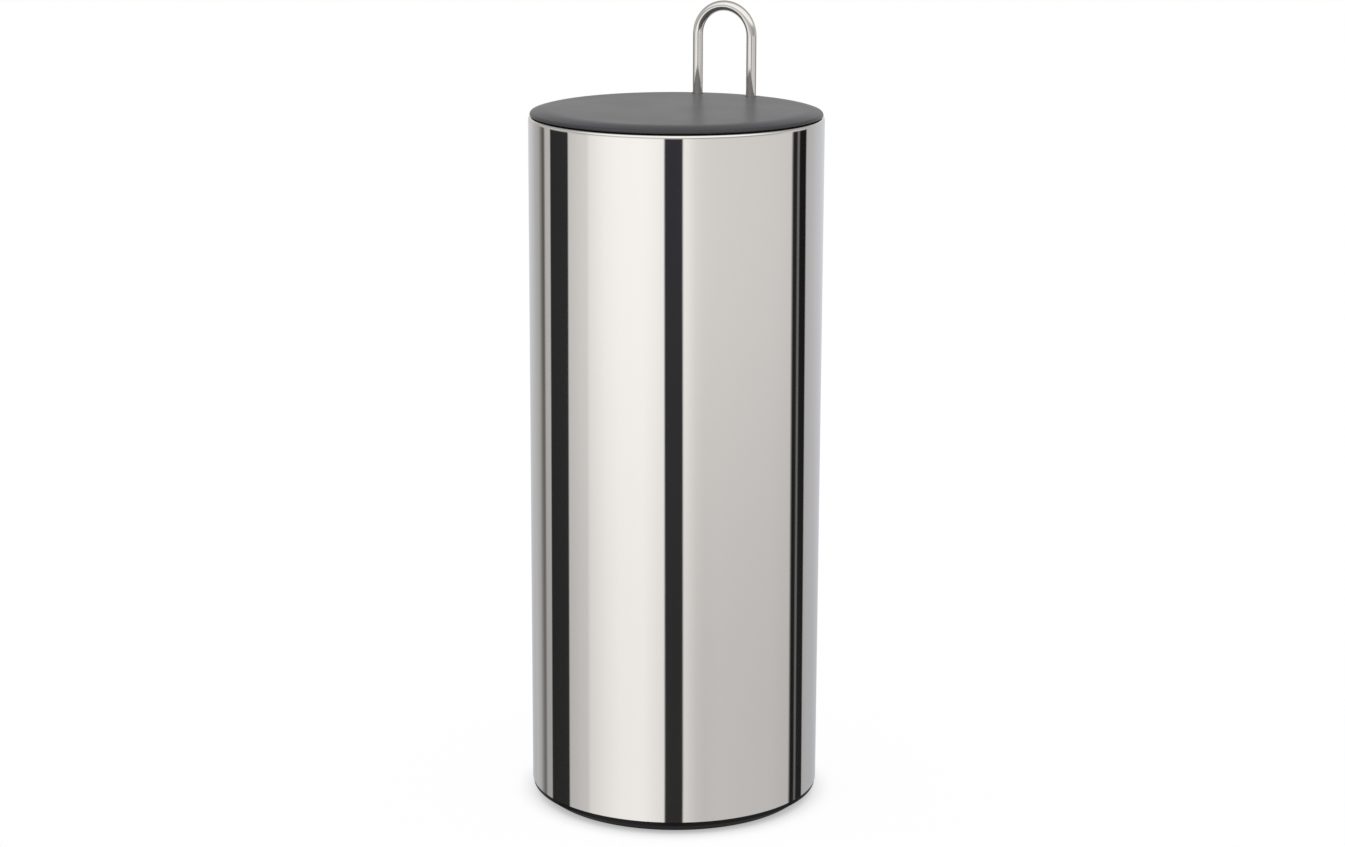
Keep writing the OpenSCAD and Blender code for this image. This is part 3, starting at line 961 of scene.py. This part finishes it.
    def model(self) -> None:
        """Models the tray and its band."""
        tray = finished("tray_shell", revolved(self.outline()))
        worked(tray, self.ribs(), Work.ADD)
        worked(tray, self.bosses(), Work.ADD)
        worked(tray, at_legs(drum(self.socket_radius, self.floor + self.soft, self.socket_top)), Work.ADD)
        worked(tray, self.holes(), Work.CUT)
        self.place(tray, Slot.GREY, "tray")
        self.place(finished("tray_band", self.band()), Slot.RUBBER, "tray_edge_ring")


@dataclass
class Hairpin(Assembly):
    """The bent rod: handle loop above the lid, two long grooved legs, stepped ends."""

    thread_radius: float = 2 * MM
    end_chamfer: float = 0.4 * MM
    socket_depth: float = 8 * MM
    groove_depth: float = 0.45 * MM
    groove_play: float = 0.05 * MM
    bend_steps: int = 48

    body = Body.CARRIER
    fittings = (
        Fitting("rod_bushes", "leg_bushes", Slot.BLACK, soft=0.3 * MM),
        Fitting("rod_clamp", "leg_clamp", Slot.GREY, soft=0.3 * MM),
        Fitting("clamp_screws", "clamp_bolts", Slot.ZINC, soft=0.1 * MM),
        Fitting("rod_clips", "leg_clips", Slot.ZINC, soft=0.1 * MM),
        Fitting("rod_washers", "leg_washers", Slot.ZINC, soft=0.1 * MM),
        Fitting("rod_nuts", "leg_nuts", Slot.ZINC, soft=0.1 * MM),
    )

    def leg_outline(self, bend: float) -> list[Point]:
        """Draws one leg's section about its own axis, from its stepped end to the bend.

        Args:
            bend: Height at which the bend starts.

        Returns:
            The section's points, open at the top.
        """
        radius, thread, chamfer = rod_radius(), self.thread_radius, self.end_chamfer
        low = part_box("handle_rod")[0].z
        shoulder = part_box("tray")[1].z - self.socket_depth
        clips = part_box("rod_clips")
        groove = radius - self.groove_depth
        points = [(0, low), (thread - chamfer, low), (thread, low + chamfer), (thread, shoulder),
                  (radius - chamfer, shoulder), (radius, shoulder + chamfer)]
        for start in (clips[0].z, clips[1].z - CLIP_THICKNESS):
            below, above = start - self.groove_play, start + CLIP_THICKNESS + self.groove_play
            points += [(radius, below), (groove, below), (groove, above), (radius, above)]
        return points + [(radius, bend)]

    def rod(self) -> Shape:
        """Spins one leg, draws its open end round half the bend and mirrors both.

        Returns:
            The rod.
        """
        leg, back = leg_place()
        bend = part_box("handle_rod")[1].z - rod_radius() - leg
        shape = moved(revolved(self.leg_outline(bend), SMALL_STEPS), leg, back)
        rim = [e for e in shape.edges if len(e.link_faces) == 1]
        corners = list({v for e in rim for v in e.verts})
        bmesh.ops.spin(shape, geom=rim + corners, cent=(0, back, bend), axis=(0, -1, 0), dvec=(0, 0, 0),
                       angle=math.tau / 4, steps=self.bend_steps, use_merge=False, use_normal_flip=False,
                       use_duplicate=False)
        whole = [*shape.verts, *shape.edges, *shape.faces]
        bmesh.ops.mirror(shape, geom=whole, axis="X", merge_dist=NEAREST)
        bmesh.ops.remove_doubles(shape, verts=shape.verts, dist=NEAREST)
        bmesh.ops.recalc_face_normals(shape, faces=shape.faces)
        return shape

    def model(self) -> None:
        """Models the rod."""
        self.place(finished("handle_wire", self.rod()), Slot.ROD, "handle_rod")


@dataclass
class Lid(Assembly):
    """Dark lid with a soft shoulder, its seal and the plate that ties it to the rod."""

    inset_flat: float = 9.5 * MM
    shoulder_radius: float = 26 * MM
    corner_radius: float = 1.5 * MM
    corner_steps: int = 12
    top_thickness: float = 2.2 * MM
    seam: float = 0.6 * MM
    skirt_radius: float = 66.4 * MM
    skirt_thickness: float = 2.1 * MM
    groove_width: float = 2.1 * MM
    groove_depth: float = 1 * MM
    seal_width: float = 2 * MM
    edge_round: float = 0.5 * MM
    hole_play: float = 0.3 * MM
    hole_soft: float = 0.15 * MM
    hole_steps: int = 6
    boss_radius: float = 3.6 * MM
    boss_bore: float = 1.6 * MM
    boss_circle: float = 46 * MM
    screw_bite: float = 5 * MM

    body = Body.CARRIER
    fittings = (
        Fitting("lid_plate", "plate_under_lid", Slot.GREY, soft=0.15 * MM, clamped=False),
        Fitting("lid_screws", "lid_bolts", Slot.ZINC, soft=0.08 * MM),
    )

    def __post_init__(self) -> None:
        """Reads the lid's levels from the frame."""
        self.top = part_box("lid_cover")[1].z
        self.ceiling = self.top - self.top_thickness
        self.plate_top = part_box("rod_bushes")[0].z - CLIP_THICKNESS

    def outline(self) -> list[Point]:
        """Draws the lid's section, from the middle of its top round its edge and skirt to its ceiling.

        Returns:
            The section's points.
        """
        low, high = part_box("lid_cover")
        flat = high.x - self.inset_flat
        corner_r = high.x - self.corner_radius
        reach = self.shoulder_radius - self.corner_radius
        tilt = math.asin((corner_r - flat) / reach)
        turn = 90 - math.degrees(tilt)
        shoulder = (flat, high.z - self.shoulder_radius)
        corner = (corner_r, shoulder[1] + reach * math.cos(tilt))
        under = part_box("outer_tube")[1].z + self.seam
        skirt, groove = self.skirt_radius, self.skirt_radius + self.groove_width
        inner = self.skirt_radius - self.skirt_thickness
        soft = self.edge_round
        return [
            (0, high.z),
            (flat - self.corner_radius, high.z),
            *arc(shoulder, self.shoulder_radius, 90, turn, self.corner_steps),
            *arc(corner, self.corner_radius, turn, 0, self.corner_steps),
            *rounded([
                (high.x, corner[1], 0), (high.x, under, self.hole_soft), (groove, under, 0),
                (groove, under + self.groove_depth, 0), (skirt, under + self.groove_depth, 0),
                (skirt, low.z, soft), (inner, low.z, soft), (inner, self.ceiling, soft),
                (0, self.ceiling, 0)]),
        ]

    def bosses(self) -> Shape:
        """Posts under the lid's top that its screws bite into."""
        post = drum(self.boss_radius, self.plate_top, self.ceiling + self.top_thickness / 2, self.hole_soft)
        return around(post, DIAGONALS, self.boss_circle)

    def holes(self) -> Shape:
        """Makes the cutters of the rod's holes, rounded at the top, and of the screws' bores.

        Returns:
            The cutters.
        """
        clear, soft = self.top_thickness, self.hole_soft
        wide = rod_radius() + self.hole_play
        flare = arc((wide + soft, self.top - soft), soft, 180, 90, self.hole_steps)
        hole = revolved([(0, self.ceiling - clear), (wide, self.ceiling - clear), *flare,
                         (wide + soft, self.top + clear), (0, self.top + clear)], SMALL_STEPS)
        bore = drum(self.boss_bore, self.plate_top - clear, self.plate_top + self.screw_bite)
        return combined(at_legs(hole), around(bore, DIAGONALS, self.boss_circle))

    def seal(self) -> Shape:
        """Makes the soft ring in the seam, its lower side round."""
        low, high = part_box("lid_seal")
        return hoop(high.x, high.x - self.seal_width, low.z, high.z, self.edge_round, ROUND_STEPS)

    def model(self) -> None:
        """Models the lid and its seal."""
        lid = finished("lid_cap", revolved(self.outline()))
        worked(lid, self.bosses(), Work.ADD)
        worked(lid, self.holes(), Work.CUT)
        self.place(lid, Slot.LID, "lid_cover")
        self.place(finished("seal_ring", self.seal()), Slot.RUBBER, "lid_seal")


# Studio


class Tone(Enum):
    """Tints of the room's light, beside the metal's own."""

    PLAIN = (1.0, 1.0, 1.015)
    PALE = (1.0, 1.01, 1.055)
    COOL = (1.0, 1.03, 1.1)
    BLUE = (1.0, 1.04, 1.25)
    WARM = (1.0, 0.97, 0.86)

    def at(self, level: float) -> Colour:
        """The tint's colour at a level of light."""
        return tuple(level * tint for tint in self.value)


@dataclass(frozen=True)
class Panel:
    """A light stretch of the studio's wall, from one bearing and level to another.

    Near the floor its levels are a share of those higher up.
    """

    start: float
    end: float
    start_level: float
    end_level: float
    low_share: float
    tone: Tone = Tone.PLAIN

    def marks(self, low: bool) -> list[Mark]:
        """The panel's two ends, as bearing and colour, high up or near the floor."""
        share = self.low_share if low else 1
        return [(self.start, self.tone.at(self.start_level * share)),
                (self.end, self.tone.at(self.end_level * share))]


@dataclass(frozen=True)
class Flag:
    """A dark flag in front of the wall, which lets a share of the light past.

    Its two edges are blurred over some degrees, and beside them a share of the light is left.
    """

    start: float
    end: float
    share: float
    low_share: float
    tone: Tone = Tone.PLAIN
    blur: Span = (0.4, 0.4)
    beside: Span = (1.0, 1.0)

    def marks(self, low: bool) -> list[Mark]:
        """Lists the flag's soft edges.

        Args:
            low: Whether they are those near the floor, where its tint doesn't show.

        Returns:
            Their bearings and colours.
        """
        dark = Tone.PLAIN.at(self.low_share) if low else self.tone.at(self.share)
        before, after = ((light,) * 3 for light in self.beside)
        return [(self.start - self.blur[0], before), (self.start, dark),
                (self.end, dark), (self.end + self.blur[1], after)]


@dataclass
class Studio:
    """White room with narrow dark flags before its light panels, a floor and the camera.

    Bearings are in degrees from the camera, positive to its right, as seen from the holder. Heights in
    the room are those of a ray's direction, from -1 straight down to 1 straight up.
    """

    camera_bearing: float = 25.0
    camera_distance: float = 1392.9 * MM
    camera_height: float = 514.6 * MM
    camera_pitch: float = -13.336
    camera_yaw: float = -0.057
    camera_roll: float = 0.195
    camera_near: float = 10 * MM
    lens: float = 79.27
    sensor: float = 36.0
    floor_size: float = 3.0
    floor_fade: Span = (0.16, 0.42)
    floor_glow: float = 0.92
    floor_colour: float = 0.1
    # Painted shade on the floor, cut into its glow where the nearby occlusion is high: reach, depth, curve
    # and samples, then how much darker the holder's reflections see it
    shade_reach: float = 12 * MM
    shade_depth: float = 0.62
    shade_power: float = 1.7
    shade_samples: int = 24
    reflected_shade_depth: float = 0.75
    mirror_strength: float = 1.1
    panels: tuple[Panel, ...] = (
        Panel(-180, -150, 0.67, 0.51, 0.83, Tone.COOL),
        Panel(-144, -136, 0.45, 0.378, 1.045),
        Panel(-121, -115, 0.46, 0.49, 0.76),
        Panel(-92, -84, 0.57, 0.614, 0.82),
        Panel(-80, -73, 0.64, 0.675, 0.835),
        Panel(-70.5, -56, 0.79, 0.92, 0.87),
        Panel(-44, -26, 0.965, 0.976, 0.90),
        Panel(-16, -10, 0.938, 0.89, 0.85),
        Panel(6, 8, 0.87, 0.85, 0.775),
        Panel(15, 22, 0.724, 0.683, 0.77),
        Panel(32, 80, 0.667, 0.635, 0.81),
        Panel(90, 102, 0.622, 0.60, 0.79),
        Panel(121, 130, 0.44, 0.47, 0.90, Tone.PALE),
        Panel(140, 180, 0.52, 0.67, 0.80, Tone.COOL),
    )
    flags: tuple[Flag, ...] = (
        Flag(-127.5, -124.2, 0.24, 0.40, Tone.WARM, blur=(7.5, 1.2)),
        Flag(-114.8, -91.9, 0.048, 0.052, Tone.COOL),
        Flag(-8.7, 4.4, 0.036, 0.036, Tone.BLUE),
        Flag(101.4, 106.8, 0.03, 0.025, blur=(0.4, 1.6), beside=(1, 0.3)),
        Flag(110.6, 119.9, 0.02, 0.035, blur=(0.8, 0.4), beside=(0.3, 1)),
    )
    low_ray: Span = (-0.144, -0.345)
    lean: float = 1.9
    spread: float = 0.034
    horizon: Span = (-0.13, -0.03)
    horizon_level: float = 0.25
    above_back: Colour = (1.045, 1.012, 0.95)
    above_front: Colour = (0.55, 0.55, 0.55)
    ceiling_edge: Span = (0.22, 0.5)
    ceiling_back: Colour = (0.38, 0.38, 0.41)
    ceiling_front: Colour = (1.0, 1.0, 1.0)
    ceiling_turn: Span = (-0.3, 0.3)
    soft_light: Colour = (0.8, 0.8, 0.8)
    white: Colour = (1.0, 1.0, 1.0)

    def camera(self) -> None:
        """Puts the camera where the photograph was taken from."""
        yaw, pitch, roll = (math.radians(a) for a in (self.camera_yaw, self.camera_pitch, self.camera_roll))
        forward = Vector((math.sin(yaw) * math.cos(pitch), math.cos(yaw) * math.cos(pitch), math.sin(pitch)))
        level = Vector((math.cos(yaw), -math.sin(yaw), 0))
        rise = level.cross(forward)
        right = level * math.cos(roll) + rise * math.sin(roll)
        up = rise * math.cos(roll) - level * math.sin(roll)
        turn = Matrix((right, up, -forward)).transposed().to_4x4()
        place = Matrix.Translation((0, -self.camera_distance, self.camera_height))
        bearing = Matrix.Rotation(math.radians(self.camera_bearing), 4, "Z")
        data = bpy.data.cameras.new("camera")
        data.sensor_width = self.sensor
        data.lens = self.lens
        data.clip_start = self.camera_near
        camera = bpy.data.objects.new("camera", data)
        bpy.context.scene.collection.objects.link(camera)
        camera.matrix_world = bearing @ place @ turn
        bpy.context.scene.camera = camera

    def strip(self, wiring: Wiring, place: Socket, fall: Socket, parts: tuple[Panel | Flag, ...]) -> Socket:
        """Colours the bearings by the panels or the flags, falling to their colours near the floor."""
        ends = [wiring.graded(place, [m for part in parts for m in part.marks(low)]) for low in (False, True)]
        return wiring.mixed(fall, *ends)

    def walls(self, wiring: Wiring) -> Socket:
        """Colours the room by the bearing and height that a ray leaves on.

        Its panels lean and spread a little towards the floor, and are dimmer there.

        Args:
            wiring: The world's nodes.

        Returns:
            The colour.
        """
        turn = (0, 0, math.pi - math.radians(self.camera_bearing))
        ray = wiring.add("Mapping", {"Vector": wiring.add("TexCoord").outputs["Generated"], "Rotation": turn})
        x, y, z = wiring.add("SeparateXYZ", {"Vector": ray.outputs["Vector"]}).outputs
        share = wiring.ranged(wiring.counted("ARCTAN2", x, y), (math.pi, -math.pi))
        slip = wiring.counted("MULTIPLY_ADD", share, self.spread, self.lean / 360 - self.spread / 2)
        lowered = wiring.counted("MULTIPLY", slip, wiring.ranged(z, self.low_ray))
        place = wiring.counted("SUBTRACT", share, lowered)
        fall = wiring.ranged(z, self.low_ray, curve="SMOOTHSTEP")
        light = self.strip(wiring, place, fall, self.panels)
        behind = wiring.mixed(1.0, light, self.strip(wiring, place, fall, self.flags), "MULTIPLY")
        facing = wiring.ranged(y, self.ceiling_turn, curve="SMOOTHSTEP")
        dimmed = wiring.mixed(1.0, light, wiring.mixed(facing, self.above_back, self.above_front), "MULTIPLY")
        above = wiring.mixed(wiring.ranged(z, self.horizon, curve="SMOOTHSTEP"), behind, dimmed)
        ceiling = wiring.mixed(facing, self.ceiling_back, self.ceiling_front)
        return wiring.mixed(wiring.ranged(z, self.ceiling_edge, curve="SMOOTHSTEP"), above, ceiling)

    def overhead(self, wiring: Wiring) -> Socket:
        """Soft light that grows from the horizon up to the ceiling, with 1 on a level surface.

        Args:
            wiring: The world's nodes.

        Returns:
            The light's strength.
        """
        ray = wiring.add("TexCoord").outputs["Generated"]
        square = wiring.counted("POWER", wiring.add("SeparateXYZ", {"Vector": ray}).outputs["Z"], 2.0)
        return wiring.counted("MULTIPLY_ADD", square, 2 * (1 - self.horizon_level), self.horizon_level)

    def room(self) -> None:
        """Lights the holder evenly, gives its steel the room to mirror and shows white behind it."""
        world = bpy.data.worlds.new("room")
        world.use_nodes = True
        bpy.context.scene.world = world
        wiring, nodes = Wiring(world.node_tree), world.node_tree.nodes
        path = wiring.add("LightPath").outputs
        wiring.fill(nodes["Background"], {"Color": self.walls(wiring), "Strength": self.mirror_strength})
        mirror = nodes["Background"].outputs["Background"]
        strength = self.overhead(wiring)
        soft = wiring.add("Background", {"Color": self.soft_light, "Strength": strength}).outputs[0]
        plain = wiring.add("Background", {"Color": self.white}).outputs[0]
        lit = wiring.add("MixShader", {"Fac": path["Is Glossy Ray"], 1: soft, 2: mirror}).outputs[0]
        seen = wiring.add("MixShader", {"Fac": path["Is Camera Ray"], 1: lit, 2: plain}).outputs[0]
        wiring.fill(nodes["World Output"], {"Surface": seen})

    def floor_material(self) -> Material:
        """Makes a white glowing floor with a painted shade close round what stands on it.

        It fades into the white room and is clear from below. The holder's sides don't mirror it, while
        its own underside sees it there, darkened by a further painted shade.

        Returns:
            The material.
        """
        material = bpy.data.materials.new("floor")
        material.use_nodes = True
        wiring, nodes = Wiring(material.node_tree), material.node_tree.nodes
        glossy = wiring.add("LightPath").outputs["Is Glossy Ray"]
        below = wiring.add("NewGeometry").outputs["Backfacing"]
        place = wiring.add("TexCoord").outputs["Object"]
        away = wiring.add("VectorMath", {0: place}, operation="LENGTH").outputs["Value"]
        # Painted shade: the floor's glow is darkened where the occlusion within a short reach is high, close
        # round the holder
        open_sky = wiring.add("AmbientOcclusion", {"Distance": self.shade_reach}, samples=self.shade_samples)
        closed = wiring.counted("SUBTRACT", 1.0, open_sky.outputs["AO"])
        shaded = wiring.counted("POWER", closed, self.shade_power)
        glow = wiring.counted("MULTIPLY_ADD", shaded, -self.shade_depth * self.floor_glow, self.floor_glow)
        # Painted shade in reflections: glossy rays see the floor under the holder darker still
        reflected_shade = wiring.counted("MULTIPLY_ADD", glossy, -self.reflected_shade_depth, 1.0)
        wiring.fill(nodes["Principled BSDF"], {
            "Base Color": (self.floor_colour,) * 3, "Roughness": 1.0, "Specular IOR Level": 0.0,
            "Emission Color": self.white, "Emission Strength": wiring.counted("MULTIPLY", glow, reflected_shade)})
        fade = wiring.ranged(away, self.floor_fade, curve="SMOOTHSTEP")
        beside = wiring.counted("GREATER_THAN", away, CAD_BOX[1].x)
        mirrored = wiring.counted("MULTIPLY", beside, glossy)
        unseen = wiring.counted("MAXIMUM", fade, wiring.counted("MAXIMUM", mirrored, below))
        clear = wiring.add("BsdfTransparent").outputs["BSDF"]
        mix = wiring.add("MixShader", {"Fac": unseen, 1: nodes["Principled BSDF"].outputs["BSDF"], 2: clear})
        wiring.fill(nodes["Material Output"], {"Surface": mix.outputs["Shader"]})
        return material

    def build(self) -> None:
        """Sets up the camera, the room and the floor."""
        self.camera()
        self.room()
        shape = bmesh.new()
        bmesh.ops.create_grid(shape, x_segments=1, y_segments=1, size=self.floor_size)
        floor = finished("floor", shape)
        floor.data.materials.append(self.floor_material())
        bpy.context.scene.view_settings.view_transform = "Standard"


def main() -> None:
    """Builds the holder piece by piece, then the studio round it."""
    logging.basicConfig(level=logging.INFO, format="%(message)s")
    materials = {slot: finish.build() for slot, finish in FINISHES.items()}
    for part in (SteelTube, Base, Tray, Hairpin, Lid):
        part(materials).build()
    Studio().build()


if __name__ == "__main__":
    main()
